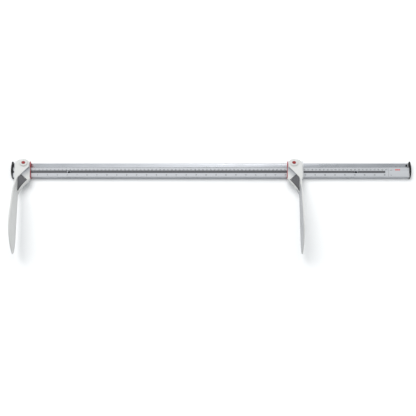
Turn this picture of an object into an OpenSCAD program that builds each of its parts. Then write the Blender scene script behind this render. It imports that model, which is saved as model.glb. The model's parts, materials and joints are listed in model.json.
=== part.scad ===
// Measuring rod for the body length of small children: an aluminium rod that lies on its back with its
// scale face up, a fixed jaw at the zero end and a sliding jaw, each with a paddle that folds
// in over the rod.
// X runs along the rod, the jaws reach towards -Y, Z is up. The origin is the middle of the rod's back face.

/* [Rod] */
// Length of the aluminium rod between its end caps
rod_length = 1016; // [700:2:1300]
// Depth of the rod from its front edge to its rear edge
rod_depth = 37.5; // [36:0.5:40]
// Height of the rod at its scale face
rod_height = 14; // [14:0.5:16]
// Width of the lower guide ledge behind the scale face
ledge_width = 11.25; // [11:0.25:12]
// Drop from the scale face to the guide ledge
ledge_drop = 3; // [2:0.5:3]
// Width of the dark inlay strip
strip_width = 6; // [4:0.2:6]
// Distance between the two wall mounting holes
mount_spacing = 736; // [400:1:760]
// Diameter of the wall mounting holes
mount_hole_d = 5; // [3.6:0.2:5]

/* [Carriages] */
// Reach of a carriage from its pivot towards the middle of the rod
carriage_inner = 17.8; // [17:0.2:20]
// Reach of a carriage from its pivot towards the rod's end
carriage_outer = 24.5; // [23:0.5:27]
// Height of the carriages
carriage_height = 19; // [19:0.5:21]
// Thickness of the red reading line
index_width = 1.8; // [1:0.2:2.4]

/* [Jaws] */
// Distance between the two measuring faces
jaw_setting = 715; // [90:1:960]
// Distance of a measuring face from its pivot
face_offset = 12; // [11:0.5:13]
// Thickness of a paddle
paddle_thick = 3.4; // [3:0.2:5]
// Height of a paddle's crest
paddle_top = 117; // [105:1:125]
// Reach of a paddle's tip in front of the rod's middle
paddle_reach = 229; // [215:1:240]
// Height of a brace rib over the jaw's underside
brace_height = 11; // [8:1:14]

/* [Hidden] */
$fn = 64;

eps = 0.01;
white = "#f0f0ee";
satin = "#c9cbcf";
steel = "#9ea1a6";
black = "#141416";
red = "#a01018";

// Rod section, seen from its right end: Y across, Z up
front_y = -rod_depth / 2;
back_y = rod_depth / 2;
ledge_y = back_y - ledge_width;
ledge_z = rod_height - ledge_drop;
strip_y = -5;
strip_depth = 1.4;
strip_thick = 0.9;
strip_stop = 62;
groove_z = 4;
groove_high = 3;
groove_deep = 3;
wall = 2;
web_width = 9;
mount_shift = 3.3;
mount_sink_d = 9;
mount_sink_deep = 2.2;

// End caps
cap_thick = 5;
cap_front_y = front_y - 0.7;
cap_back_y = back_y + 3.9;
cap_top = 17;
cap_corner = 2.5;
cap_dome_r = 85;
cap_screw_r = 1.5;
cap_screw_z = 7;
cap_screw_long = 18;
cap_screw_head_r = 2.9;
cap_screw_head_high = 1.6;
cap_screw_slot = 0.7;
cap_sink = 2;
tongue_long = 4;
tongue_gap = 0.1;

// Stop screw on the guide ledge
stop_x = rod_length / 2 - 6;
stop_y = (ledge_y + back_y) / 2;
stop_head_r = 2.4;
stop_head_high = 1.4;
stop_shank_r = 1.25;
stop_shank_long = 6;

// Carriage section
side_gap = 0.5;
top_gap = 1.2;
liner_gap = 0.3;
carriage_front_y = front_y - 2.55;
carriage_back_y = back_y + 4.05;
front_round = 6;
back_round = 3;
carriage_foot_z = 3.4;
lip_gap = 0.4;
seam_width = 0.8;
seam_deep = 0.8;
liner_thick = top_gap - liner_gap;

// Pivots
pivot_y = 14.4;
pivot_left_x = -rod_length / 2 + carriage_outer + 4.1;
pivot_right_x = pivot_left_x + jaw_setting - 2 * face_offset;
pin_r = 3;
pin_fit = 0.05;
pin_head_r = 5.6;
pin_head_high = 2.4;
thread_r = 2;
nut_flat_r = 3.5;
nut_high = 3;
washer_r = 7;
washer_thick = 0.9;

// Detents
detent_radius = 9.2;
detent_ball_r = 1.5;
detent_fit = 0.1;
detent_proud = 0.8;
dimple_r = 1.8;
detent_pocket_z = 13.4;
spring_wire_r = 0.25;
spring_coil_r = 1.1;
spring_turns = 4;

// Jaw levels
jaw_z = carriage_height + 1;
plate_thick = 3.5;
arm_thick = 9;
head_oval = [13.5, 11];
head_high = 9.5;
arm_outer = 21.5;
pin_head_z = jaw_z + 3.5;
brace_low_z = rod_height + 1.6;
paddle_low_z = rod_height + 3;
cap_oval = [10.5, 9];
head_cap_high = 3;
button_oval = [4, 3.2];
button_gap = 0.15;
button_flange_r = 4.8;
button_proud = 1.2;

head_top = jaw_z + head_high;
paddle_x0 = -face_offset - paddle_thick;

// A cubic curve from a to d with its two control points b and c, without its first point
function curve(a, b, c, d, n = 12) = [
    for (i = [1 : n])
        let (t = i / n, s = 1 - t)
        s * s * s * a + 3 * s * s * t * b + 3 * s * t * t * c + t * t * t * d
];

// Points of an arc about a centre
function arc(centre, r, from, to, n = 10) = [
    for (i = [0 : n])
        let (a = from + (to - from) * i / n)
        centre + r * [cos(a), sin(a)]
];

// A section drawn in Y and Z, extruded along X from x0 to x1
module along_x(x0, x1) {
    translate([x0, 0, 0]) rotate([90, 0, 90]) linear_extrude(x1 - x0) children();
}

// A cylinder along Z between two heights
module post(r, z0, z1) {
    translate([0, 0, z0]) cylinder(h = z1 - z0, r = r);
}

// A straight oval drum between two heights
module oval(radii, z0, z1) {
    points = [for (i = [0 : 59]) [radii[0] * cos(6 * i), radii[1] * sin(6 * i)]];
    translate([0, 0, z0]) linear_extrude(z1 - z0) polygon(points);
}

// A box between two corners
module box(low, high) {
    translate(low) cube(high - low);
}

module at_left() {
    translate([pivot_left_x, 0, 0]) children();
}

module at_right() {
    translate([pivot_right_x, 0, 0]) mirror([1, 0, 0]) children();
}

module at_pivot() {
    translate([0, pivot_y, 0]) children();
}

/* ---------- rod ---------- */

module rod_outline() {
    polygon([
        [front_y, 0],
        [front_y, groove_z],
        [front_y + groove_deep, groove_z],
        [front_y + groove_deep, groove_z + groove_high],
        [front_y, groove_z + groove_high],
        [front_y, rod_height - 0.8],
        [front_y + 0.8, rod_height],
        [strip_y - strip_width / 2, rod_height],
        [strip_y - strip_width / 2, rod_height - strip_depth],
        [strip_y + strip_width / 2, rod_height - strip_depth],
        [strip_y + strip_width / 2, rod_height],
        [ledge_y - 0.6, rod_height],
        [ledge_y, rod_height - 0.6],
        [ledge_y, ledge_z],
        [back_y, ledge_z],
        [back_y, groove_z + groove_high],
        [back_y - groove_deep, groove_z + groove_high],
        [back_y - groove_deep, groove_z],
        [back_y, groove_z],
        [back_y, 0]
    ]);
}

module rod_chambers() {
    front_end = strip_y - web_width / 2;
    front_start = front_y + groove_deep + wall;
    translate([front_start, wall]) square([front_end - front_start, rod_height - 2 * wall]);
    back_start = strip_y + web_width / 2;
    back_end = back_y - groove_deep - wall;
    translate([back_start, wall]) square([back_end - back_start, ledge_z - 2 * wall]);
}

module mount_positions() {
    for (side = [-1, 1])
        translate([mount_shift + side * mount_spacing / 2, strip_y, 0]) children();
}

module rod() {
    color(satin) difference() {
        along_x(-rod_length / 2, rod_length / 2) difference() {
            rod_outline();
            rod_chambers();
        }
        mount_positions() {
            post(mount_hole_d / 2, -1, rod_height + 1);
            sink_z = rod_height - strip_depth - mount_sink_deep;
            translate([0, 0, sink_z])
                cylinder(h = mount_sink_deep + eps, r1 = mount_hole_d / 2, r2 = mount_sink_d / 2);
        }
        for (side = [-1, 1])
            translate([side * rod_length / 2, strip_y, cap_screw_z])
                rotate([0, -90 * side, 0])
                    post(cap_screw_r + 0.05, -1, cap_screw_long);
        translate([stop_x, stop_y, 0]) post(stop_shank_r + 0.05, ledge_z - stop_shank_long, ledge_z + 1);
    }
}

module scale_strip() {
    color("#6c6d72") difference() {
        along_x(-rod_length / 2 + 1, rod_length / 2 - strip_stop) {
            translate([strip_y - strip_width / 2 + 0.05, rod_height - strip_depth])
                square([strip_width - 0.1, strip_thick]);
        }
        mount_positions() post(mount_sink_d / 2 + 0.1, 0, rod_height + 1);
    }
}

/* ---------- end caps ---------- */

module cap_outline() {
    polygon(concat(
        [[cap_front_y, 0]],
        arc([cap_front_y + cap_corner, cap_top - cap_corner - 2], cap_corner, 180, 90, 6),
        arc([cap_back_y - cap_corner, cap_top - cap_corner], cap_corner, 90, 0, 6),
        [[cap_back_y, 0]]
    ));
}

module end_cap() {
    color(black) difference() {
        intersection() {
            along_x(0, cap_thick) cap_outline();
            translate([cap_thick - cap_dome_r, (cap_front_y + cap_back_y) / 2, -1])
                cylinder(h = cap_top + 2, r = cap_dome_r, $fn = 180);
        }
        translate([0, strip_y, cap_screw_z]) rotate([0, 90, 0]) {
            post(cap_screw_r + 0.15, -1, cap_thick + 1);
            post(cap_screw_head_r + 0.1, cap_thick - cap_sink, cap_thick + 1);
        }
    }
    // Tongue that plugs the rear chamber of the rod
    color(black) box(
        [-tongue_long, strip_y + web_width / 2 + tongue_gap, wall + tongue_gap],
        [eps, back_y - groove_deep - wall - tongue_gap, ledge_z - wall - tongue_gap]
    );
}

module end_cap_right() {
    translate([rod_length / 2, 0, 0]) end_cap();
}

module end_cap_left() {
    translate([-rod_length / 2, 0, 0]) mirror([1, 0, 0]) end_cap();
}

module cap_screw() {
    seat = cap_thick - cap_sink;
    color(steel) translate([0, strip_y, cap_screw_z]) rotate([0, 90, 0]) difference() {
        union() {
            post(cap_screw_r, -cap_screw_long + 1, seat + eps);
            post(cap_screw_head_r, seat, seat + cap_screw_head_high);
        }
        box(
            [-cap_screw_slot / 2, -cap_screw_head_r - 1, seat + cap_screw_head_high / 2],
            [cap_screw_slot / 2, cap_screw_head_r + 1, cap_thick]
        );
    }
}

module cap_screws() {
    translate([rod_length / 2, 0, 0]) cap_screw();
    translate([-rod_length / 2, 0, 0]) mirror([1, 0, 0]) cap_screw();
}

module stop_screw() {
    color(black) translate([stop_x, stop_y, 0]) difference() {
        union() {
            post(stop_shank_r, ledge_z - stop_shank_long + 0.5, ledge_z + eps);
            post(stop_head_r, ledge_z, ledge_z + stop_head_high);
        }
        translate([0, 0, ledge_z + 0.6]) cylinder(h = 2, r = 1.1, $fn = 6);
    }
}

/* ---------- carriages ---------- */

module carriage_outline() {
    lip_front = front_y + groove_deep - lip_gap;
    lip_back = back_y - groove_deep + lip_gap;
    lip_low = groove_z + lip_gap;
    lip_high = groove_z + groove_high - lip_gap;
    inner_front = front_y - side_gap;
    inner_back = back_y + side_gap;
    step_y = ledge_y + top_gap;
    polygon(concat(
        [[carriage_front_y, carriage_foot_z]],
        arc([carriage_front_y + front_round, carriage_height - front_round], front_round, 180, 90, 12),
        [
            [ledge_y - seam_width, carriage_height],
            [ledge_y - seam_width, carriage_height - seam_deep],
            [ledge_y, carriage_height - seam_deep],
            [ledge_y, carriage_height]
        ],
        arc([carriage_back_y - back_round, carriage_height - back_round], back_round, 90, 0, 8),
        [
            [carriage_back_y, carriage_foot_z],
            [inner_back, carriage_foot_z],
            [inner_back, lip_low],
            [lip_back, lip_low],
            [lip_back, lip_high],
            [inner_back, lip_high],
            [inner_back, ledge_z + top_gap],
            [step_y, ledge_z + top_gap],
            [step_y, rod_height + top_gap],
            [inner_front, rod_height + top_gap],
            [inner_front, lip_high],
            [lip_front, lip_high],
            [lip_front, lip_low],
            [inner_front, lip_low],
            [inner_front, carriage_foot_z]
        ]
    ));
}

// A carriage's sleeve with the holes for its pivot pin, nut and detent
module carriage_body() {
    difference() {
        along_x(-carriage_outer, carriage_inner - index_width) carriage_outline();
        at_pivot() {
            post(thread_r + 0.05, ledge_z, carriage_height + 1);
            translate([0, 0, ledge_z])
                cylinder(h = top_gap + nut_high, r = (nut_flat_r + 0.1) / cos(30), $fn = 6);
            translate([-detent_radius, 0, 0])
                post(detent_ball_r + detent_fit, detent_pocket_z, carriage_height + 1);
        }
    }
}

clamp_x = [-17, 9];
clamp_r = 1.5;
clamp_z = 9;

module clamp_positions() {
    for (x = clamp_x)
        translate([x, 0, clamp_z]) rotate([-90, 0, 0]) children();
}

module carriage_left() {
    color(white) at_left() difference() {
        carriage_body();
        clamp_positions() translate([0, 0, back_y - 1]) cylinder(h = 8, r = clamp_r + 0.05);
    }
}

module clamp_screws() {
    color(steel) at_left() clamp_positions() difference() {
        translate([0, 0, back_y]) cylinder(h = carriage_back_y - back_y - 0.3, r = clamp_r);
        translate([0, 0, carriage_back_y - 1.8]) cylinder(h = 3, r = 0.8, $fn = 6);
    }
}

brake_x = [-18, 10];
brake_y = [-14, 2];
brake_roof_z = rod_height + top_gap + 1.4;
brake_thick = 0.4;
brake_low_z = rod_height + liner_gap;

module carriage_right() {
    color(white) at_right() difference() {
        carriage_body();
        box([brake_x[0], brake_y[0], rod_height], [brake_x[1], brake_y[1], brake_roof_z]);
    }
}

// Bowed leaf spring that bears on the scale face
module brake_spring() {
    half = (brake_x[1] - brake_x[0]) / 2 - 0.3;
    sag = brake_roof_z - brake_low_z - brake_thick;
    radius = (half * half + sag * sag) / (2 * sag);
    sweep = asin(half / radius);
    centre = [(brake_x[0] + brake_x[1]) / 2, brake_low_z + radius];
    band = concat(
        arc(centre, radius, -90 - sweep, -90 + sweep, 16),
        arc(centre, radius - brake_thick, -90 + sweep, -90 - sweep, 16)
    );
    color(steel) at_right() translate([0, brake_y[1] - 1, 0]) rotate([90, 0, 0])
        linear_extrude(brake_y[1] - brake_y[0] - 2) polygon(band);
}

module index_frame() {
    color(red) along_x(carriage_inner - index_width, carriage_inner) carriage_outline();
}

module index_left() {
    at_left() index_frame();
}

module index_right() {
    at_right() index_frame();
}

// Low friction strips under a carriage's roof
module liners() {
    x0 = -carriage_outer + 0.5;
    x1 = carriage_inner - index_width - 0.5;
    roof = rod_height + top_gap;
    ledge_roof = ledge_z + top_gap;
    color("#3b3d42") {
        box([x0, front_y + 0.8, roof - liner_thick], [x1, brake_y[0] - 0.5, roof]);
        box([x0, brake_y[1] + 0.5, roof - liner_thick], [x1, ledge_y - 0.8, roof]);
    }
    color("#3b3d42") for (x = [x0, nut_flat_r + 2])
        box([x, pivot_y - 3, ledge_roof - liner_thick], [x + 10, pivot_y + 3, ledge_roof]);
}

module liners_left() {
    at_left() liners();
}

module liners_right() {
    at_right() liners();
}

/* ---------- pivots ---------- */

module pivot_pin() {
    socket_r = 1.8;
    color(steel) at_pivot() difference() {
        union() {
            post(thread_r, ledge_z + top_gap, carriage_height);
            post(pin_r, carriage_height, pin_head_z);
            post(pin_head_r, pin_head_z, pin_head_z + pin_head_high);
        }
        translate([0, 0, pin_head_z + 1]) cylinder(h = 3, r = socket_r, $fn = 6);
    }
}

module pivot_washer() {
    color("#2a2c30") at_pivot() difference() {
        post(washer_r, carriage_height, carriage_height + washer_thick);
        post(pin_r + pin_fit, 0, jaw_z + 1);
    }
}

module pivot_nut() {
    z0 = ledge_z + top_gap;
    color(steel) at_pivot() difference() {
        translate([0, 0, z0]) cylinder(h = nut_high, r = nut_flat_r / cos(30), $fn = 6);
        post(thread_r + 0.02, 0, carriage_height);
    }
}

module detent_ball() {
    z = carriage_height + detent_proud - detent_ball_r;
    color(steel) at_pivot() translate([-detent_radius, 0, z]) sphere(r = detent_ball_r, $fn = 32);
}

// A coil spring about Z between two heights, one closed tube along a helix
module coil(r, low, high, turns) {
    sides = 6;
    steps = 12 * turns;
    rise = high - low - 2 * spring_wire_r;
    points = [
        for (i = [0 : steps])
            for (k = [0 : sides - 1])
                let (a = 30 * i, b = 360 * k / sides, reach = r + spring_wire_r * cos(b))
                [reach * cos(a), reach * sin(a), low + spring_wire_r * (1 + sin(b)) + rise * i / steps]
    ];
    walls = [
        for (i = [0 : steps - 1])
            for (k = [0 : sides - 1])
                let (here = sides * i, next = here + sides, m = (k + 1) % sides)
                each [[here + k, next + k, here + m], [here + m, next + k, next + m]]
    ];
    ends = [[for (k = [0 : sides - 1]) k], [for (k = [sides - 1 : -1 : 0]) sides * steps + k]];
    polyhedron(points, concat(walls, ends));
}

module detent_spring() {
    ball_foot = carriage_height + detent_proud - detent_ball_r - 1.1;
    color(steel) at_pivot() translate([-detent_radius, 0, 0])
        coil(spring_coil_r, detent_pocket_z, ball_foot, spring_turns);
}

module pivot_pin_left() {
    at_left() pivot_pin();
}

module pivot_pin_right() {
    at_right() pivot_pin();
}

module pivot_washer_left() {
    at_left() pivot_washer();
}

module pivot_washer_right() {
    at_right() pivot_washer();
}

module pivot_nut_left() {
    at_left() pivot_nut();
}

module pivot_nut_right() {
    at_right() pivot_nut();
}

module detent_ball_left() {
    at_left() detent_ball();
}

module detent_ball_right() {
    at_right() detent_ball();
}

module detent_spring_left() {
    at_left() detent_spring();
}

module detent_spring_right() {
    at_right() detent_spring();
}

/* ---------- jaws ---------- */

// Leaf outline of a paddle in Y and Z: a nearly flat lower edge, a round tip and an arched crest
root_y = pivot_y - 49;
shoulder = [root_y - 49.4, paddle_top - 27];
crest = [-(paddle_reach - 68), paddle_top];
tip = [-paddle_reach, jaw_z + 28];
heel = [tip[0] + 40, jaw_z + 2];

function leaf() = concat(
    [
        [root_y + 16, jaw_z],
        [root_y + 16, jaw_z + arm_thick],
        [root_y, jaw_z + arm_thick]
    ],
    curve([root_y, jaw_z + arm_thick], [root_y - 7.4, 54], [root_y - 21, 80], shoulder),
    curve(shoulder, shoulder + [-28, 8], crest + [27, -1], crest),
    curve(crest, crest + [-31, 0], tip + [9, 36], tip),
    curve(tip, tip + [0, -12], heel + [-23, 2], heel),
    [
        [root_y - 26, paddle_low_z],
        [root_y - 4, paddle_low_z],
        [root_y - 1, jaw_z]
    ]
);

// Plan outline of the raised arm, about the pivot
module arm_plan() {
    polygon(concat(
        arc([-13.5, 2], 8, 130, 180, 8),
        [
            [-arm_outer, -38],
            [paddle_x0, -48],
            [-face_offset, -48],
            [-face_offset, -37],
            [15, -12.5],
            [head_oval[0] - 0.2, 0],
            [0, 4]
        ]
    ));
}

// Plan outline of the lower plate that carries the brace, about the pivot
module plate_plan() {
    difference() {
        polygon([
            [14.5, -10],
            [14.8, -34],
            [17.5, -42.5],
            [15.5, -46],
            [2, -59],
            [-7, -70],
            [-face_offset - 1, -84],
            [-face_offset - 1, -30],
            [0, -10]
        ]);
        polygon([
            [12.5, -43],
            [-6, -31],
            [-face_offset, -36],
            [-face_offset, -70],
            [-7, -63],
            [2, -54]
        ]);
    }
}

// Plan of the curved brace rib, about the pivot
brace_start = [17.5, -42.5];
brace_end = [-face_offset - 1, -88];

module brace_plan() {
    polygon(concat(
        [brace_start],
        curve(brace_start, [2, -56], [-face_offset + 1.5, -70], brace_end),
        [[-face_offset - 1, -76]],
        curve([-face_offset - 1, -76], [-face_offset + 1, -66], [2, -53], brace_start + [-3, -0.5])
    ));
}

module jaw() {
    color(white) difference() {
        union() {
            along_x(paddle_x0, -face_offset) polygon(leaf());
            at_pivot() {
                oval(head_oval, jaw_z, head_top);
                translate([0, 0, jaw_z]) linear_extrude(arm_thick) arm_plan();
                translate([0, 0, jaw_z]) linear_extrude(plate_thick) plate_plan();
                translate([0, 0, brace_low_z]) linear_extrude(jaw_z + brace_height - brace_low_z)
                    brace_plan();
            }
        }
        at_pivot() {
            post(pin_r + pin_fit, 0, head_top + 1);
            post(pin_head_r + 0.4, pin_head_z - 0.1, head_top + 1);
            for (dimple = [[-detent_radius, 0], [0, detent_radius]])
                translate([dimple[0], dimple[1], carriage_height - 0.1]) sphere(r = dimple_r, $fn = 32);
        }
    }
}

// Raised oval boss that keeps the button in the head
module head_cap() {
    color(white) at_pivot() difference() {
        oval(cap_oval, head_top, head_top + head_cap_high);
        oval(button_oval + [button_gap, button_gap], 0, head_top + head_cap_high + 1);
    }
}

// Release button with a flange under the boss
module button() {
    color(red) at_pivot() {
        oval(button_oval, head_top - 1, head_top + head_cap_high + button_proud);
        post(button_flange_r, head_top - 1, head_top - 0.1);
    }
}

module button_spring() {
    low = pin_head_z + pin_head_high;
    color(steel) at_pivot() coil(3, low, head_top - 1, 3);
}

module jaw_left() {
    at_left() jaw();
}

module jaw_right() {
    at_right() jaw();
}

module head_cap_left() {
    at_left() head_cap();
}

module head_cap_right() {
    at_right() head_cap();
}

module button_left() {
    at_left() button();
}

module button_right() {
    at_right() button();
}

module button_spring_left() {
    at_left() button_spring();
}

module button_spring_right() {
    at_right() button_spring();
}

rod();
scale_strip();
end_cap_left();
end_cap_right();
cap_screws();
stop_screw();
carriage_left();
carriage_right();
index_left();
index_right();
liners_left();
liners_right();
clamp_screws();
brake_spring();
pivot_pin_left();
pivot_pin_right();
pivot_washer_left();
pivot_washer_right();
pivot_nut_left();
pivot_nut_right();
detent_ball_left();
detent_ball_right();
detent_spring_left();
detent_spring_right();
jaw_left();
jaw_right();
head_cap_left();
head_cap_right();
button_left();
button_right();
button_spring_left();
button_spring_right();
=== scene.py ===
"""Looks of an infant length measuring rod: satin aluminium, a printed scale and two white folding jaws."""
import json
import math

import bmesh
import bpy
from mathutils import Matrix, Vector


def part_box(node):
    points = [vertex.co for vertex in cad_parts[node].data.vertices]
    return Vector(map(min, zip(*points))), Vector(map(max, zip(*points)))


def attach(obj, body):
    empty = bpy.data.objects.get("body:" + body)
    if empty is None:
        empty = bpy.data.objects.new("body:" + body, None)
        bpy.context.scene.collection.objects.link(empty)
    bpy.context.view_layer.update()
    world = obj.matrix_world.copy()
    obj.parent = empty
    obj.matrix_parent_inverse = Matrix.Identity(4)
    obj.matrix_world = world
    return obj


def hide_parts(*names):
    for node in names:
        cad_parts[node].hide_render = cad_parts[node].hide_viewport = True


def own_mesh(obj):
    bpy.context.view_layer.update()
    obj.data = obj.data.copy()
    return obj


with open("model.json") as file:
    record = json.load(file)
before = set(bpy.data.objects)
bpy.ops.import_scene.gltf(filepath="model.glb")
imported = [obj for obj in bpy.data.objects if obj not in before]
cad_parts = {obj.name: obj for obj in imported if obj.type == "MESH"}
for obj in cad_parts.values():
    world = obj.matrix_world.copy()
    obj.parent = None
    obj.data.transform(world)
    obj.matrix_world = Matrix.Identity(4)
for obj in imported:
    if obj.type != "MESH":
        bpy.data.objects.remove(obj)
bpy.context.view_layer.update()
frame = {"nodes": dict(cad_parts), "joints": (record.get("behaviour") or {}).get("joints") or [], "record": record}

MM = 0.001

# Places taken from the frame, in millimetres
rod_low, rod_high = (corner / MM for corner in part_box("rod"))
strip_low, strip_high = (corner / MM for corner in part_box("scale_strip"))
rod_top = rod_high.z
pivots = {
    joint["name"].split("_")[1]: Vector(joint["pos_m"]) / MM
    for joint in frame["joints"]
    if joint["name"].endswith("_fold")
}
SIDES = {"left": 1, "right": -1}
BODIES = {"left": "rod_body", "right": "slide_body"}
HOLES = next(m for m in frame["record"]["mounts"] if m["name"] == "wall_holes")

# Carriages: Y of the seam in their top, and how far their inner ends lean per millimetre in front of a given Y
SEAM_Y = 4.2
LEAN = 0.05
LEAN_START = -13.3

# Button and the hole for it in the head cap, as half widths along X and Y
BUTTON_OVAL = (4.4, 3.5)
BUTTON_HOLE = (4.6, 3.7)
BUTTON_FLANGE = (4.8, 4.8)

# Head of a jaw: half widths and heights of its drum, and the two bores for the pivot pin
DRUM_OVAL = (13.5, 11.0)
DRUM_HEIGHTS = (20.0, 29.5)
PIN_BORE_R = 3.05
PIN_HEAD_BORE_R = 6.0

# Grey painted as shade on each jaw's measuring face, from 0 to 1. The two mouldings are alike in CAD, and the
# right one gets much more painted shade only so that it looks as dark as its shaded face does in the main view.
FACE_SHADE = {"left": 0.02, "right": 0.85}

# Strength of the plain white surroundings
SKY = 0.58


# ---------------------------------------------------------------- small helpers

def lerp(a, b, t):
    return a + (b - a) * t


def smooth(t):
    t = min(max(t, 0.0), 1.0)
    return t * t * (3 - 2 * t)


def bezier(a, b, c, d, count=14):
    """Points of a cubic curve after its first point."""
    points = []
    for i in range(1, count + 1):
        t = i / count
        s = 1 - t
        points.append(a * s ** 3 + b * 3 * s * s * t + c * 3 * s * t * t + d * t ** 3)
    return points


def new_object(name, mesh):
    made = bpy.data.objects.new(name, mesh)
    bpy.context.scene.collection.objects.link(made)
    return made


def mesh_from(name, bm):
    mesh = bpy.data.meshes.new(name)
    bmesh.ops.recalc_face_normals(bm, faces=bm.faces)
    bm.to_mesh(mesh)
    bm.free()
    return mesh


def add_loft(bm, rings):
    """A closed skin over rings of equally many points, capped at both ends. Points are in millimetres."""
    rows = [[bm.verts.new(Vector(p) * MM) for p in ring] for ring in rings]
    for one, two in zip(rows, rows[1:]):
        for i in range(len(one)):
            j = (i + 1) % len(one)
            bm.faces.new((one[i], one[j], two[j], two[i]))
    bm.faces.new(rows[0])
    bm.faces.new(list(reversed(rows[-1])))


def add_prism(bm, outline, low, high):
    """A plan outline extruded along Z between two heights, in millimetres."""
    add_loft(bm, [[(x, y, z) for x, y in outline] for z in (low, high)])


def settle(piece):
    """Puts a piece's modifiers into its mesh."""
    graph = bpy.context.evaluated_depsgraph_get()
    made = bpy.data.meshes.new_from_object(piece.evaluated_get(graph))
    old = piece.data
    piece.modifiers.clear()
    piece.data = made
    bpy.data.meshes.remove(old)


def shade_smooth(piece, angle=35):
    piece.data.shade_smooth()
    piece.data.set_sharp_from_angle(angle=math.radians(angle))


def finish_piece(piece, material, body, slot, *nodes):
    piece.data.materials.clear()
    piece.data.materials.append(material)
    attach(piece, body)
    if nodes:
        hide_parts(*nodes)


# ---------------------------------------------------------------- shared surface effects

class Net:
    """Short ways to place and join the nodes of a material or a node group."""

    def __init__(self, tree):
        self.tree = tree
        self.column = 0

    def add(self, kind, **values):
        node = self.tree.nodes.new(kind)
        node.location = (self.column, 0)
        self.column += 180
        for key, value in values.items():
            setattr(node, key, value)
        return node

    def join(self, source, target):
        self.tree.links.new(source, target)

    def noise(self, vector, scale, detail=3.0, rough=0.5):
        node = self.add("ShaderNodeTexNoise")
        self.join(vector, node.inputs["Vector"])
        for name, value in (("Scale", scale), ("Detail", detail), ("Roughness", rough)):
            if isinstance(value, (int, float)):
                node.inputs[name].default_value = value
            else:
                self.join(value, node.inputs[name])
        return node.outputs["Fac"]

    def spread(self, value, low, high, to_low=0.0, to_high=1.0):
        node = self.add("ShaderNodeMapRange")
        self.join(value, node.inputs["Value"])
        for name, number in (("From Min", low), ("From Max", high), ("To Min", to_low), ("To Max", to_high)):
            if isinstance(number, (int, float)):
                node.inputs[name].default_value = number
            else:
                self.join(number, node.inputs[name])
        return node.outputs["Result"]

    def math(self, operation, *values):
        node = self.add("ShaderNodeMath", operation=operation)
        for socket, value in zip(node.inputs, values):
            if isinstance(value, (int, float)):
                socket.default_value = value
            else:
                self.join(value, socket)
        return node.outputs["Value"]

    def blend(self, factor, one, two):
        node = self.add("ShaderNodeMix", data_type="RGBA")
        sockets = [s for s in node.inputs if s.enabled and s.type in ("VALUE", "RGBA")]
        for socket, value in zip(sockets, (factor, one, two)):
            if isinstance(value, tuple):
                socket.default_value = (*value, 1)
            elif isinstance(value, (int, float)):
                socket.default_value = value
            else:
                self.join(value, socket)
        return [s for s in node.outputs if s.enabled][0]

    def group(self, tree, **inputs):
        node = self.add("ShaderNodeGroup", node_tree=tree)
        for name, value in inputs.items():
            socket = node.inputs[name.replace("_", " ").capitalize()]
            if isinstance(value, (int, float, tuple)):
                socket.default_value = value
            else:
                self.join(value, socket)
        return node.outputs


def new_group(name, inputs, outputs):
    """An empty shader node group, with its own net and its input and output nodes."""
    tree = bpy.data.node_groups.new(name, "ShaderNodeTree")
    for label, value in inputs.items():
        kind = "NodeSocketVector" if isinstance(value, tuple) else "NodeSocketFloat"
        socket = tree.interface.new_socket(label, in_out="INPUT", socket_type=kind)
        socket.default_value = value
    for label in outputs:
        tree.interface.new_socket(label, in_out="OUTPUT", socket_type="NodeSocketFloat")
    net = Net(tree)
    return net, net.add("NodeGroupInput").outputs, net.add("NodeGroupOutput").inputs


def drawn_grain_group():
    """Fine lines that run along the metal, as an extrusion die or a brush leaves them."""
    net, given, made = new_group(
        "Drawn grain",
        {"Stretch": (30.0, 2600.0, 2600.0), "Strength": 0.5},
        ("Lines", "Clouding", "Height"),
    )
    place = net.add("ShaderNodeTexCoord").outputs["Object"]
    stretched = net.add("ShaderNodeVectorMath", operation="MULTIPLY")
    net.join(place, stretched.inputs[0])
    net.join(given["Stretch"], stretched.inputs[1])
    lines = net.noise(stretched.outputs["Vector"], 1.0, 4.0, 0.6)
    clouds = net.noise(place, 22.0, 2.0)
    net.join(net.spread(lines, 0.3, 0.7), made["Lines"])
    net.join(net.spread(clouds, 0.35, 0.65), made["Clouding"])
    net.join(net.math("MULTIPLY", lines, given["Strength"]), made["Height"])
    return net.tree


def moulded_skin_group():
    """Spark-eroded mould texture with the faint flow clouds and handling marks of moulded plastic."""
    net, given, made = new_group(
        "Moulded skin",
        {"Texture size": 3200.0, "Strength": 0.5, "Flow size": 26.0},
        ("Flow", "Marks", "Height"),
    )
    place = net.add("ShaderNodeTexCoord").outputs["Object"]
    fine = net.noise(place, given["Texture size"], 3.0, 0.6)
    flow = net.noise(place, given["Flow size"], 3.0)
    cells = net.add("ShaderNodeTexVoronoi", feature="DISTANCE_TO_EDGE")
    net.join(place, cells.inputs["Vector"])
    cells.inputs["Scale"].default_value = 260.0
    scratch = net.spread(cells.outputs["Distance"], 0.0, 0.03, 1.0, 0.0)
    patches = net.spread(net.noise(place, 90.0, 2.0), 0.58, 0.66)
    net.join(net.spread(flow, 0.3, 0.7), made["Flow"])
    net.join(net.math("MULTIPLY", scratch, patches), made["Marks"])
    net.join(net.math("MULTIPLY", fine, given["Strength"]), made["Height"])
    return net.tree


def edge_wear_group():
    """A mask along convex edges, broken up by noise."""
    net, given, made = new_group("Edge wear", {"Amount": 0.5, "Break size": 420.0}, ("Mask",))
    geometry = net.add("ShaderNodeNewGeometry")
    place = net.add("ShaderNodeTexCoord").outputs["Object"]
    edge = net.spread(geometry.outputs["Pointiness"], 0.52, 0.62)
    broken = net.spread(net.noise(place, given["Break size"], 3.0), 0.35, 0.65)
    net.join(net.math("MULTIPLY", net.math("MULTIPLY", edge, broken), given["Amount"]), made["Mask"])
    return net.tree


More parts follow.
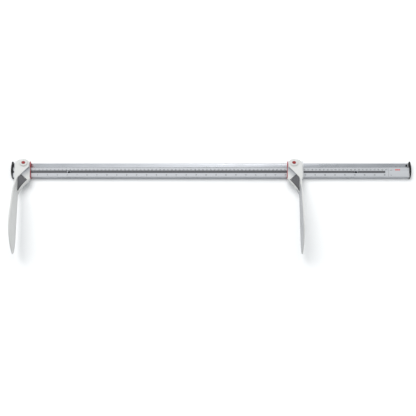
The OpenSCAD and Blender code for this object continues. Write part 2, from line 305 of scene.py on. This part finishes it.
def dust_group():
    """A mask of fine dust that settles on faces that look up."""
    net, given, made = new_group("Settled dust", {"Amount": 0.2, "Speck size": 700.0}, ("Mask",))
    geometry = net.add("ShaderNodeNewGeometry")
    split = net.add("ShaderNodeSeparateXYZ")
    net.join(geometry.outputs["Normal"], split.inputs["Vector"])
    place = net.add("ShaderNodeTexCoord").outputs["Object"]
    specks = net.spread(net.noise(place, given["Speck size"], 4.0, 0.7), 0.5, 0.75)
    facing = net.spread(split.outputs["Z"], 0.4, 1.0)
    net.join(net.math("MULTIPLY", net.math("MULTIPLY", specks, facing), given["Amount"]), made["Mask"])
    return net.tree


GRAIN = drawn_grain_group()
SKIN = moulded_skin_group()
WEAR = edge_wear_group()
DUST = dust_group()


# ---------------------------------------------------------------- materials

def start_material(name, **constants):
    """A material with a Principled shader, whose plain values sit on its own sockets."""
    material = bpy.data.materials.new(name)
    material.use_nodes = True
    shader = material.node_tree.nodes["Principled BSDF"]
    for label, value in constants.items():
        shader.inputs[label.replace("_", " ")].default_value = value
    return material, shader, Net(material.node_tree)


def set_bump(net, shader, height, distance):
    bump = net.add("ShaderNodeBump")
    bump.inputs["Distance"].default_value = distance
    bump.inputs["Strength"].default_value = 0.6
    net.join(height, bump.inputs["Height"])
    net.join(bump.outputs["Normal"], shader.inputs["Normal"])


def metal(name, dark, light, rough, stretch, strength=0.5, bump=0.00004, wear=0.25):
    """Drawn or brushed metal: lines along it, soft clouding, brighter worn edges and a little dust."""
    material, shader, net = start_material(name, Metallic=1.0)
    grain = net.group(GRAIN, stretch=stretch, strength=strength)
    worn = net.group(WEAR, amount=wear)["Mask"]
    dust = net.group(DUST, amount=0.08)["Mask"]
    tone = net.blend(net.math("MULTIPLY", grain["Lines"], 0.6), dark, light)
    tone = net.blend(net.math("MULTIPLY", grain["Clouding"], 0.25), tone, light)
    tone = net.blend(worn, tone, tuple(min(1.0, c * 1.12) for c in light))
    net.join(net.blend(dust, tone, (0.62, 0.61, 0.59)), shader.inputs["Base Color"])
    cloudy = net.spread(grain["Clouding"], 0.0, 1.0, rough - 0.04, rough + 0.05)
    lined = net.math("ADD", cloudy, net.math("MULTIPLY", grain["Lines"], 0.06))
    net.join(net.math("ADD", lined, net.math("MULTIPLY", dust, 0.3)), shader.inputs["Roughness"])
    set_bump(net, shader, grain["Height"], bump)
    return material


def plastic(name, base, deep, rough, size=3200.0, bump=0.00003, marks=0.5, dust=0.06, painted_shade=None, **constants):
    """Moulded plastic: flow clouds, fine mould texture, faint handling marks and dust on top."""
    material, shader, net = start_material(name, **constants)
    skin = net.group(SKIN, texture_size=size, strength=1.0)
    worn = net.group(WEAR, amount=0.3)["Mask"]
    settled = net.group(DUST, amount=dust)["Mask"]
    tone = net.blend(net.math("MULTIPLY", skin["Flow"], 0.7), base, deep)
    tone = net.blend(net.math("MULTIPLY", skin["Marks"], 0.12 * marks), tone, deep)
    tone = net.blend(worn, tone, tuple(lerp(c, 0.9, 0.12) for c in base))
    # The optional grey is painted shade, mixed in where a point attribute of the mesh says
    if painted_shade:
        tone = net.blend(net.add("ShaderNodeAttribute", attribute_name="painted_shade").outputs["Fac"], tone, painted_shade)
    net.join(net.blend(settled, tone, (0.55, 0.53, 0.50)), shader.inputs["Base Color"])
    ground = net.spread(skin["Flow"], 0.0, 1.0, rough - 0.05, rough + 0.05)
    marked = net.math("SUBTRACT", ground, net.math("MULTIPLY", skin["Marks"], 0.14 * marks))
    net.join(net.math("ADD", marked, net.math("MULTIPLY", settled, 0.35)), shader.inputs["Roughness"])
    set_bump(net, shader, skin["Height"], bump)
    return material


def floor_surface():
    """Matt white studio paper with a faint fibre."""
    material, shader, net = start_material("studio_paper", Roughness=0.9)
    place = net.add("ShaderNodeTexCoord").outputs["Object"]
    fibre = net.noise(place, 900.0, 3.0, 0.6)
    net.join(net.blend(fibre, (0.90, 0.90, 0.905), (0.93, 0.93, 0.93)), shader.inputs["Base Color"])
    return material


MATERIALS = {
    "anodised_rod": metal("anodised_rod", (0.54, 0.55, 0.58), (0.63, 0.64, 0.67), 0.28, (14.0, 2400.0, 2400.0)),
    "zinc_steel": metal("zinc_steel", (0.44, 0.44, 0.46), (0.60, 0.60, 0.61), 0.30, (900.0, 900.0, 900.0), 0.6),
    "spring_steel": metal(
        "spring_steel", (0.36, 0.37, 0.39), (0.55, 0.56, 0.58), 0.26, (1500.0, 1500.0, 200.0)
    ),
    "black_screw": metal(
        "black_screw", (0.012, 0.012, 0.013), (0.03, 0.03, 0.032), 0.42, (800.0, 800.0, 800.0)
    ),
    "printed_face": plastic(
        "printed_face", (0.47, 0.48, 0.50), (0.50, 0.51, 0.53), 0.5, 1500.0, 0.00001, Metallic=0.1
    ),
    # The grey blended in on the jaws is painted shade in the web and on the measuring face
    "white_jaw": plastic(
        "white_jaw", (0.62, 0.62, 0.607), (0.595, 0.595, 0.58), 0.42, painted_shade=(0.30, 0.31, 0.33),
        Coat_Weight=0.04,
    ),
    "white_carriage": plastic(
        "white_carriage", (0.69, 0.695, 0.70), (0.65, 0.66, 0.665), 0.38, Coat_Weight=0.06
    ),
    "grey_inlay": plastic("grey_inlay", (0.082, 0.082, 0.090), (0.095, 0.095, 0.102), 0.55, 2600.0, marks=0.8),
    "black_cap": plastic(
        "black_cap", (0.008, 0.008, 0.009), (0.013, 0.013, 0.014), 0.5, 1800.0, 0.00006, dust=0.02,
        Specular_IOR_Level=0.2,
    ),
    "red_button": plastic("red_button", (0.27, 0.003, 0.005), (0.30, 0.003, 0.005), 0.42, Coat_Weight=0.05),
    "red_line": plastic("red_line", (0.42, 0.035, 0.045), (0.36, 0.025, 0.034), 0.40),
    "grey_liner": plastic("grey_liner", (0.045, 0.046, 0.050), (0.06, 0.06, 0.065), 0.5),
    "scale_print": plastic("scale_print", (0.030, 0.031, 0.034), (0.042, 0.043, 0.047), 0.5, dust=0.0),
    "red_print": plastic("red_print", (0.62, 0.075, 0.065), (0.55, 0.06, 0.055), 0.5, dust=0.0),
}


# ---------------------------------------------------------------- CAD pieces kept, or kept with softened edges

def keep(material, *nodes):
    """Gives CAD nodes their finish and leaves their shape."""
    for name in nodes:
        node = frame["nodes"][name]
        node.data.materials.clear()
        node.data.materials.append(MATERIALS[material])


def softened(name, material, slot, body, width, segments=3, angle=28):
    """A copy of a CAD node with its facets joined into clean faces and its edges rounded."""
    bm = bmesh.new()
    bm.from_mesh(frame["nodes"][name].data)
    bmesh.ops.remove_doubles(bm, verts=bm.verts, dist=0.000004)
    bmesh.ops.dissolve_limit(bm, angle_limit=math.radians(0.6), verts=bm.verts, edges=bm.edges)
    piece = new_object(name + "_body", mesh_from(name + "_body", bm))
    bevel = piece.modifiers.new("Rounding", "BEVEL")
    bevel.width = width * MM
    bevel.segments = segments
    bevel.limit_method = "ANGLE"
    bevel.angle_limit = math.radians(angle)
    bevel.use_clamp_overlap = True
    bevel.harden_normals = False
    settle(piece)
    shade_smooth(piece)
    finish_piece(piece, MATERIALS[material], body, slot, name)
    return piece


keep("zinc_steel", "cap_screws", "clamp_screws")
keep("black_screw", "stop_screw")
keep("spring_steel", "brake_spring")
keep("grey_liner", "liners_left", "liners_right", "pivot_washer_left", "pivot_washer_right")
for side in SIDES:
    keep("zinc_steel", "pivot_pin_" + side, "pivot_nut_" + side, "detent_ball_" + side)
    keep("spring_steel", "detent_spring_" + side)


def return_spring(side):
    """The coil under a button, as its own copy of the CAD coil, carried by the jaw."""
    node = "button_spring_" + side
    piece = new_object(node + "_coil", frame["nodes"][node].data.copy())
    shade_smooth(piece, 50)
    finish_piece(piece, MATERIALS["spring_steel"], "jaw_" + side + "_body", "steel", node)
    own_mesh(piece)


for side in SIDES:
    return_spring(side)


def carve(piece, cutter_bm):
    """Cuts a closed mesh out of a piece."""
    cutter = new_object("cutter", mesh_from("cutter", cutter_bm))
    cut = piece.modifiers.new("Bore", "BOOLEAN")
    cut.object = cutter
    cut.operation = "DIFFERENCE"
    cut.solver = "EXACT"
    settle(piece)
    bpy.data.objects.remove(cutter)


def paint_faces(piece, material, chosen):
    """Gives the faces for which chosen(centre, normal) holds one more material. Centres are in millimetres."""
    piece.data.materials.append(material)
    index = len(piece.data.materials) - 1
    for face in piece.data.polygons:
        if chosen(face.center / MM, face.normal):
            face.material_index = index


def in_wall_hole(centre):
    """Whether a point in millimetres lies on the wall of a wall screw hole."""
    middle, half = HOLES["pos_m"][0] / MM, HOLES["dims"]["spacing_x_mm"] / 2
    across = min(abs(centre.x - middle - half), abs(centre.x - middle + half))
    reach = math.hypot(across, centre.y - HOLES["pos_m"][1] / MM)
    return reach < HOLES["dims"]["hole_r_mm"] + 0.2 and centre.z < rod_top - 1


def fill_channel(piece):
    """Closes the strip's channel between the strip's end and the rod's end, level with the scale face."""
    bm = bmesh.new()
    bm.from_mesh(piece.data)
    y0, y1 = strip_low.y - 0.05, strip_high.y + 0.05
    ends = ((strip_high.x + 0.3, rod_high.x - 0.4), (rod_low.x + 0.4, strip_low.x - 0.3))
    for x0, x1 in ends:
        if x1 - x0 > 1:
            outline = [(x0, y0), (x1, y0), (x1, y1), (x0, y1)]
            add_loft(bm, [[(x, y, z) for x, y in outline] for z in (rod_top - 1.0, rod_top - 0.02)])
    bmesh.ops.recalc_face_normals(bm, faces=bm.faces)
    bm.to_mesh(piece.data)
    bm.free()


rod = softened("rod", "anodised_rod", "aluminium", "rod_body", 0.35, 2)
fill_channel(rod)
paint_faces(rod, MATERIALS["printed_face"], lambda c, n: n.z > 0.9 and c.z > rod_top - 0.3)
# The walls of the wall screw holes are painted black as painted shade in the deep bores
paint_faces(rod, MATERIALS["black_cap"], lambda c, n: in_wall_hole(c))
softened("scale_strip", "grey_inlay", "grey_inlay", "rod_body", 0.12, 2)


def step_top(piece):
    """Lowers a carriage's top in front of a seam, with a face that rises again towards the front edge."""
    xs = [vertex.co.x / MM for vertex in piece.data.vertices]
    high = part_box("carriage_left")[1].z / MM
    profile = [(SEAM_Y, high + 2), (SEAM_Y, high - 2.0), (-20.5, high - 0.3), (-20.5, high + 2)]
    bm = bmesh.new()
    add_loft(bm, [[(x, y, z) for y, z in profile] for x in (min(xs) - 2, max(xs) + 2)])
    carve(piece, bm)


def lean(piece, side, inner_x, reach):
    """Leans a carriage's inner end so that the reading line runs slightly outwards towards the front."""
    for vertex in piece.data.vertices:
        near = 1 - smooth(abs(vertex.co.x / MM - inner_x) / reach)
        vertex.co.x -= SIDES[side] * near * LEAN * (vertex.co.y - LEAN_START * MM)


for side in SIDES:
    softened("end_cap_" + side, "black_cap", "black_plastic", "rod_body", 0.7)
    line = [corner.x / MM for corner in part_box("index_" + side)]
    carriage = softened("carriage_" + side, "white_carriage", "white_plastic", BODIES[side], 0.45)
    index = softened("index_" + side, "red_line", "red_plastic", BODIES[side], 0.25, 2)
    step_top(carriage)
    shade_smooth(carriage)
    lean(carriage, side, line[0] if side == "left" else line[1], 6)
    lean(index, side, sum(line) / 2, 40)


# ---------------------------------------------------------------- printed scale

PRINT_THICK = 0.03
SCALE_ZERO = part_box("index_left")[1].x / MM - 59.6
SCALE_END = 97.0
TICK_WIDTH = 0.16


def add_tick(bm, x, y0, y1, width=TICK_WIDTH):
    """A printed bar centred on x, between two places across the rod."""
    half = width / 2
    outline = [(x - half, y0), (x + half, y0), (x + half, y1), (x - half, y1)]
    add_prism(bm, outline, rod_top, rod_top + PRINT_THICK)


def glyph(character):
    """A flat figure of size 1, as points and faces, with its left edge and width."""
    curve = bpy.data.curves.new("figure", "FONT")
    curve.body = character
    curve.size = 1.0
    curve.extrude = 0.02
    curve.resolution_u = 3
    curve.offset = 0.022
    holder = bpy.data.objects.new("figure", curve)
    bpy.context.scene.collection.objects.link(holder)
    mesh = bpy.data.meshes.new_from_object(holder)
    bpy.data.objects.remove(holder)
    points = [v.co.copy() for v in mesh.vertices]
    faces = [tuple(p.vertices) for p in mesh.polygons]
    bpy.data.meshes.remove(mesh)
    width = max(p.x for p in points) - min(p.x for p in points)
    return points, faces, min(p.x for p in points), width


GLYPHS = {character: glyph(character) for character in "0123456789cmin"}


def add_label(bm, text, x, y, height, gap=0.12):
    """A centred row of figures whose foot is at y."""
    size = height / 0.7
    widths = [GLYPHS[c][3] * size for c in text]
    left = x - (sum(widths) + gap * size * (len(text) - 1)) / 2
    for character, width in zip(text, widths):
        points, faces, start, _ = GLYPHS[character]
        verts = []
        for p in points:
            depth = PRINT_THICK if p.z > 0 else 0.0
            place = Vector((left + (p.x - start) * size, y + p.y * size, rod_top + depth))
            verts.append(bm.verts.new(place * MM))
        for face in faces:
            bm.faces.new([verts[i] for i in face])
        left += width + gap * size


def print_scale():
    """Centimetre row behind the strip, inch row in front of it, and their unit names at the right end."""
    rear = strip_high.y
    edge = 7.1
    ticks = bmesh.new()
    figures = bmesh.new()
    for step in range(50, int(SCALE_END * 10) + 1):
        x = SCALE_ZERO + step
        long = 2.6 if step % 10 == 0 else 2.1 if step % 5 == 0 else 1.5
        add_tick(ticks, x, edge - long, edge, TICK_WIDTH * (1.5 if step % 10 == 0 else 1))
        if step % 10 == 0:
            add_label(figures, str(step // 10), x, rear + 1.5, 2.8)
    front = rod_low.y + 1.3
    for step in range(16, int(SCALE_END / 2.54 * 8) + 1):
        x = SCALE_ZERO + step * 25.4 / 8
        long = 2.6 if step % 8 == 0 else 2.0 if step % 4 == 0 else 1.3
        add_tick(ticks, x, front, front + long, TICK_WIDTH * (1.5 if step % 8 == 0 else 1.2))
        if step % 8 == 0:
            add_label(figures, str(step // 8), x, front + 3.2, 2.9)
    add_tick(ticks, strip_high.x + 8, front, edge, 0.4)
    # A line behind the strip between the two reading lines at rest. It stays there when the right jaw slides.
    line = [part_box("index_left")[1].x / MM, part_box("index_right")[0].x / MM]
    add_tick(ticks, sum(line) / 2, rear + 0.05, rear + 1.05, line[1] - line[0])
    add_label(figures, "cm", strip_high.x + 15, rear + 0.9, 2.5)
    add_label(figures, "in", strip_high.x + 15, front + 3.0, 2.5)
    for name, bm in (("scale_ticks", ticks), ("scale_figures", figures)):
        piece = new_object(name, mesh_from(name, bm))
        finish_piece(piece, MATERIALS["scale_print"], "rod_body", "black_plastic")


def print_mark():
    """Three plain red blocks near the right end, where such a rod carries a printed mark."""
    bm = bmesh.new()
    x, y, high, half, pitch = strip_high.x + 32, -0.8, 3.2, 1.8, 4.2
    for shift in (-pitch, 0, pitch):
        x0, x1 = x + shift - half, x + shift + half
        add_prism(bm, [(x0, y), (x1, y), (x1, y + high), (x0, y + high)], rod_top, rod_top + PRINT_THICK)
    piece = new_object("red_mark", mesh_from("red_mark", bm))
    finish_piece(piece, MATERIALS["red_print"], "rod_body", "red_plastic")


print_scale()
print_mark()


# ---------------------------------------------------------------- jaws

# Heights and reaches of a jaw, from the frame, about its pivot where they are plan measures
jaw_low, jaw_high = (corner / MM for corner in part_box("jaw_left"))
head_low, head_high = (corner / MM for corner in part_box("head_cap_left"))
pivot = pivots["left"]
jaw_under = pivot.z
arm_top = jaw_under + 9
measuring_x = -12.0
paddle_x = -15.4
brace_top = jaw_under + 11
brace_foot = rod_top + 1.7
tip_y = jaw_low.y
crest_z = jaw_high.z


def leaf_outline():
    """Crest and lower edge of a paddle as heights at each Y, from its root to its tip."""
    root = Vector((pivot.y - 49, arm_top))
    shoulder = root + Vector((-49.4, crest_z - 27 - arm_top))
    crest = Vector((tip_y + 68, crest_z))
    tip = Vector((tip_y, jaw_under + 28))
    heel = tip + Vector((40, -26))
    upper = [root]
    upper += bezier(root, Vector((root.x - 7.4, 54)), Vector((root.x - 21, 80)), shoulder, 10)
    upper += bezier(shoulder, shoulder + Vector((-28, 8)), crest + Vector((27, -1)), crest, 12)
    upper += bezier(crest, crest + Vector((-31, 0)), tip + Vector((9, 36)), tip, 16)
    lower = bezier(tip, tip + Vector((0, -12)), heel + Vector((-23, 2)), heel, 12)
    return upper, lower


def leaf_plate(bm):
    """The paddle: flat on its measuring face, thinner towards its crest, with a rounded rim."""
    upper, lower = leaf_outline()
    root_foot = [(pivot.y - 75, rod_top + 3), (pivot.y - 53, rod_top + 3), (pivot.y - 50, jaw_under)]
    outline = upper + lower + [Vector(p) for p in root_foot]
    inner = [(measuring_x - 0.05, p.x, p.y) for p in outline]
    outer = [(lerp(paddle_x, paddle_x - 0.3, smooth((p.y - 60) / 50)), p.x, p.y) for p in outline]
    add_loft(bm, [inner, outer])


def arm_loft(bm):
    """The arm that turns from flat over the carriage to upright where it meets the paddle."""
    # Y, then the outer top, inner top, inner foot and outer foot as X and Z
    stations = [
        (24.6, (-9.5, 27.8), (5.5, 27.8), (5.5, 20), (-9.5, 20)),
        (22.6, (-15.0, 28.6), (10.0, 28.6), (10.4, 20), (-15.0, 20)),
        (19, (-18.4, 28.9), (12.8, 28.9), (13.2, 20), (-18.4, 20)),
        (13, (-20.4, 29.0), (14.4, 29.0), (14.8, 20), (-20.4, 20)),
        (6, (-21.2, 29.2), (13.6, 29.0), (14.2, 20), (-21.2, 20)),
        (1, (-21.4, 29.6), (10.6, 29.0), (11.4, 20), (-21.4, 20)),
        (-5, (-21.5, 30.2), (5.5, 29.2), (6.2, 20), (-21.5, 20)),
        (-12, (-21.5, 31.2), (-2.0, 29.8), (-1.2, 20), (-21.5, 20)),
        (-18, (-21.2, 33.0), (-7.4, 31.2), (-6.6, 20), (-21.2, 20)),
        (-24, (-20.4, 36.5), (-11.6, 34.6), (-11.2, 20), (-20.6, 20)),
        (-30, (-19.2, 42), (-12.9, 40.6), (-12.0, 20), (-19.6, 20)),
        (-37, (-17.8, 50), (-13.0, 49.2), (-12.0, 20), (-18.2, 20)),
        (-45, (-16.6, 59), (-13.0, 58.6), (-12.0, 20), (-16.6, 20)),
        (-54, (-15.7, 67.4), (-13.0, 67.4), (-12.0, 18), (-15.6, 18)),
    ]
    rings = []
    for y, *corners in stations:
        ring = []
        for one, two in zip(corners, corners[1:] + corners[:1]):
            for t in (0, 0.25, 0.5, 0.75):
                ring.append((lerp(one[0], two[0], t), y, lerp(one[1], two[1], t)))
        rings.append(ring)
    add_loft(bm, rings)


def head_drum(bm):
    """The oval drum that the jaw turns on."""
    add_loft(bm, [oval_ring(DRUM_OVAL, z) for z in DRUM_HEIGHTS])


def web_and_brace(bm):
    """The low web over the carriage's front corner, and the curved rib that carries on to the paddle."""
    # Plan points of the web with the height of its slope, which falls from the arm to the reading line
    web_front = [
        (16.2, 4.4, 2.6), (16.4, -19.6, 2.6), (17.5, -28.1, 3.2), (15.2, -31.8, 4.0), (12.2, -30.4, 4.2),
        (-6.4, -14.8, 8.2), (-13, -21.0, 8.2), (-13, -10, 8.2), (0, -6.0, 8.4), (9.0, 3.0, 8.2),
        (10.0, 4.4, 8.0),
    ]
    web_foot = [(x, y, jaw_under) for x, y, _ in web_front]
    web_top = [(x, y, jaw_under + rise) for x, y, rise in web_front]
    add_loft(bm, [web_foot, web_top])
    start, end = Vector((17.5, -28.1)), Vector((-13.0, -74.0))
    outer = [start] + bezier(start, Vector((6, -39.6)), Vector((-10.0, -55.0)), end, 16)
    rib_width = 2.1
    inner = []
    for i, p in enumerate(outer):
        ahead = outer[min(i + 1, len(outer) - 1)] - outer[max(i - 1, 0)]
        normal = Vector((ahead.y, -ahead.x)).normalized()
        inner.append(p + normal * rib_width)
    outline = [tuple(p) for p in outer] + [tuple(p) for p in reversed(inner)]
    add_prism(bm, outline, brace_foot, brace_top)


def pocket_shade_panel(side):
    """A dark panel that closes the pocket between arm, web and brace, just under their rims; its dark is painted
    shade for the deep pocket.
    """
    rim = [
        (-12.6, -25.0, 33.0), (-6.9, -16.0, 27.4), (11.0, -30.6, 23.4), (6.6, -34.4, 25.0), (1.2, -39.4, 26.8),
        (-5.6, -47.2, 28.8), (-11.7, -58.5, 31.5),
    ]
    bm = bmesh.new()
    add_loft(bm, [[(x, y, jaw_under + 0.6) for x, y, _ in rim], rim])
    bmesh.ops.triangulate(bm, faces=bm.faces)
    piece = new_object("pocket_shade_panel_" + side, mesh_from("pocket_shade_panel_" + side, bm))
    place_jaw_part(piece, side)
    shade_smooth(piece, 30)
    finish_piece(piece, MATERIALS["grey_inlay"], "jaw_" + side + "_body", "liner")


def add_round(bm, centre, radius, low, high, count=64):
    """A round column about a plan point, between two heights."""
    turns = [math.tau * i / count for i in range(count)]
    outline = [(centre[0] + radius * math.cos(t), centre[1] + radius * math.sin(t)) for t in turns]
    add_prism(bm, outline, low, high)


def paint_shade(piece, face_shade):
    """Paints shade into the web's recess, strongest along the arm, and paints shade over the measuring face."""
    values = piece.data.attributes.new("painted_shade", "FLOAT", "POINT")
    for vertex, value in zip(piece.data.vertices, values.data):
        x, y, z = vertex.co / MM
        away = (x - y - 8) * math.sqrt(0.5)
        inside = smooth((away - 0.2) / 0.8) * smooth((y + 32) / 2)
        inside *= smooth((x + 8) / 1.5)
        inside *= smooth((6 - y) / 1.5)
        value.value = inside * smooth(1 - away / 19) if z < 29.5 else 0.0
        # Painted shade over the measuring face, fading in from the paddle's root
        if x > measuring_x - 1.4 and y < -50 and abs(vertex.normal.x) > 0.6:
            value.value = face_shade * smooth((-50 - y) / 8)


def jaw(side):
    """One moulded jaw: head, arm, web, brace and paddle grown together with soft edges."""
    bm = bmesh.new()
    leaf_plate(bm)
    arm_loft(bm)
    head_drum(bm)
    web_and_brace(bm)
    piece = new_object("jaw_" + side + "_moulding", mesh_from("jaw_" + side, bm))
    skin = piece.modifiers.new("One skin", "REMESH")
    skin.mode = "VOXEL"
    skin.voxel_size = 0.62 * MM
    skin.adaptivity = 0.0
    soften = piece.modifiers.new("Soft edges", "SMOOTH")
    soften.factor = 0.5
    soften.iterations = 5
    settle(piece)
    thin = piece.modifiers.new("Fewer faces", "DECIMATE")
    thin.ratio = 0.35
    settle(piece)
    bores = bmesh.new()
    add_round(bores, (0, pivot.y), PIN_BORE_R, jaw_under - 2, arm_top + 3)
    add_round(bores, (0, pivot.y), PIN_HEAD_BORE_R, jaw_under + 3.4, arm_top + 3)
    carve(piece, bores)
    paint_shade(piece, FACE_SHADE[side])
    place_jaw_part(piece, side)
    shade_smooth(piece, 50)
    finish_piece(piece, MATERIALS["white_jaw"], "jaw_" + side + "_body", "white_plastic", "jaw_" + side)


def place_jaw_part(piece, side):
    """Moves a part modelled about the left pivot's X to its side, mirrored on the right."""
    turn = Matrix.Diagonal((SIDES[side], 1, 1, 1))
    piece.data.transform(Matrix.Translation((pivots[side].x * MM, 0, 0)) @ turn)
    if SIDES[side] < 0:
        piece.data.flip_normals()


def oval_ring(radii, z, grow=0.0, count=72):
    """Points of an oval about the left pivot at one height, in millimetres."""
    return [
        (
            (radii[0] + grow) * math.cos(math.tau * i / count),
            pivot.y + (radii[1] + grow) * math.sin(math.tau * i / count),
            z,
        )
        for i in range(count)
    ]


def head_cap(side):
    """The domed oval boss on the head, with a shallow groove around it and a seat for the button."""
    cap_radii = ((head_high.x - head_low.x) / 2, (head_high.y - head_low.y) / 2)
    low, high = head_low.z, head_high.z
    profile = [
        (0.0, low), (0.0, low + 0.7), (-0.5, low + 0.75), (-0.55, low + 1.0), (-0.15, low + 1.1),
        (-0.2, low + 1.6), (-0.8, low + 2.3), (-2.0, low + 2.8), (-3.6, high), (-4.9, high),
        (-5.3, high - 0.35), (-5.5, high - 0.9),
    ]
    rings = [oval_ring(cap_radii, z, grow) for grow, z in profile]
    rings.append(oval_ring(BUTTON_HOLE, high - 1.2))
    rings.append(oval_ring(BUTTON_HOLE, low))
    bm = bmesh.new()
    rows = [[bm.verts.new(Vector(p) * MM) for p in ring] for ring in rings]
    for one, two in zip(rows, rows[1:] + rows[:1]):
        for i in range(len(one)):
            j = (i + 1) % len(one)
            bm.faces.new((one[i], one[j], two[j], two[i]))
    piece = new_object("head_cap_" + side + "_boss", mesh_from("head_cap_" + side, bm))
    place_jaw_part(piece, side)
    shade_smooth(piece, 40)
    finish_piece(piece, MATERIALS["white_jaw"], "jaw_" + side + "_body", "white_plastic", "head_cap_" + side)


def button(side):
    """The red release button: an oval with a rounded brim and a shallow thumb dish."""
    low, high = (corner.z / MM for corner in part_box("button_" + side))
    rings = [oval_ring(BUTTON_FLANGE, z) for z in (low, low + 0.9)] + [oval_ring(BUTTON_OVAL, low + 0.95)]
    for grow, drop in ((0, 1.0), (-0.05, 0.5), (-0.3, 0.15), (-0.8, 0.0), (-1.4, 0.08), (-2.2, 0.2)):
        rings.append(oval_ring(BUTTON_OVAL, high - drop, grow))
    bm = bmesh.new()
    add_loft(bm, rings)
    piece = new_object("button_" + side + "_cap", mesh_from("button_" + side, bm))
    place_jaw_part(piece, side)
    shade_smooth(piece, 40)
    finish_piece(piece, MATERIALS["red_button"], "button_" + side + "_body", "red_plastic", "button_" + side)


for side in SIDES:
    jaw(side)
    pocket_shade_panel(side)
    head_cap(side)
    button(side)


# ---------------------------------------------------------------- floor, light and camera

def studio():
    """A wide sheet of pale paper under plain white surroundings."""
    bm = bmesh.new()
    half = 25.0
    corners = [(-half, -half, 0), (half, -half, 0), (half, half, 0), (-half, half, 0)]
    bm.faces.new([bm.verts.new(p) for p in corners])
    floor = new_object("floor", mesh_from("floor", bm))
    floor.data.materials.append(floor_surface())
    world = bpy.data.worlds.new("studio")
    world.use_nodes = True
    background = world.node_tree.nodes["Background"]
    background.inputs["Color"].default_value = (0.94, 0.98, 1.0, 1)
    background.inputs["Strength"].default_value = SKY
    bpy.context.scene.world = world


def far_light(direction, strength, spread):
    """A very wide, far soft light that reaches every part of the floor alike."""
    data = bpy.data.lights.new("far_light", "SUN")
    data.energy = strength
    data.angle = math.radians(spread)
    light = bpy.data.objects.new("far_light", data)
    bpy.context.scene.collection.objects.link(light)
    light.visible_glossy = False
    light.matrix_world = (-Vector(direction)).to_track_quat("-Z", "Y").to_matrix().to_4x4()


def soft_box(name, place, aim, size, watts):
    """A rectangular lamp at a place, turned towards its aim."""
    data = bpy.data.lights.new(name, "AREA")
    data.shape = "RECTANGLE"
    data.size, data.size_y = size
    data.energy = watts
    light = bpy.data.objects.new(name, data)
    bpy.context.scene.collection.objects.link(light)
    direction = Vector(aim) - Vector(place)
    light.matrix_world = Matrix.Translation(place) @ direction.to_track_quat("-Z", "Y").to_matrix().to_4x4()


def camera():
    """A long lens that looks steeply down on the rod from the front."""
    tilt = math.radians(74)
    reach = 2.8
    target = Vector((-0.0083, -0.0971, 0.0))
    eye = Vector((-0.015, target.y - reach * math.cos(tilt), reach * math.sin(tilt)))
    ahead = (target - eye).normalized()
    right = (Vector((1, 0, 0)) - ahead * ahead.x).normalized()
    up = right.cross(ahead)
    data = bpy.data.cameras.new("camera")
    data.lens = 94.97
    data.sensor_width = 36.0
    data.clip_end = 50.0
    made = bpy.data.objects.new("camera", data)
    bpy.context.scene.collection.objects.link(made)
    made.matrix_world = Matrix((
        (right.x, up.x, -ahead.x, eye.x),
        (right.y, up.y, -ahead.y, eye.y),
        (right.z, up.z, -ahead.z, eye.z),
        (0, 0, 0, 1),
    ))
    bpy.context.scene.camera = made


studio()
far_light((-0.18, 0.42, 1.0), 1.45, 45)
soft_box("right_fill", (2.4, -0.25, 0.7), (-0.4, -0.12, 0.05), (0.8, 0.6), 6)
soft_box("back_glow", (-0.75, 0.70, 2.2), (-0.75, 0.0, 0), (2.6, 0.9), 16.0)
camera()
bpy.context.scene.view_settings.view_transform = "Standard"
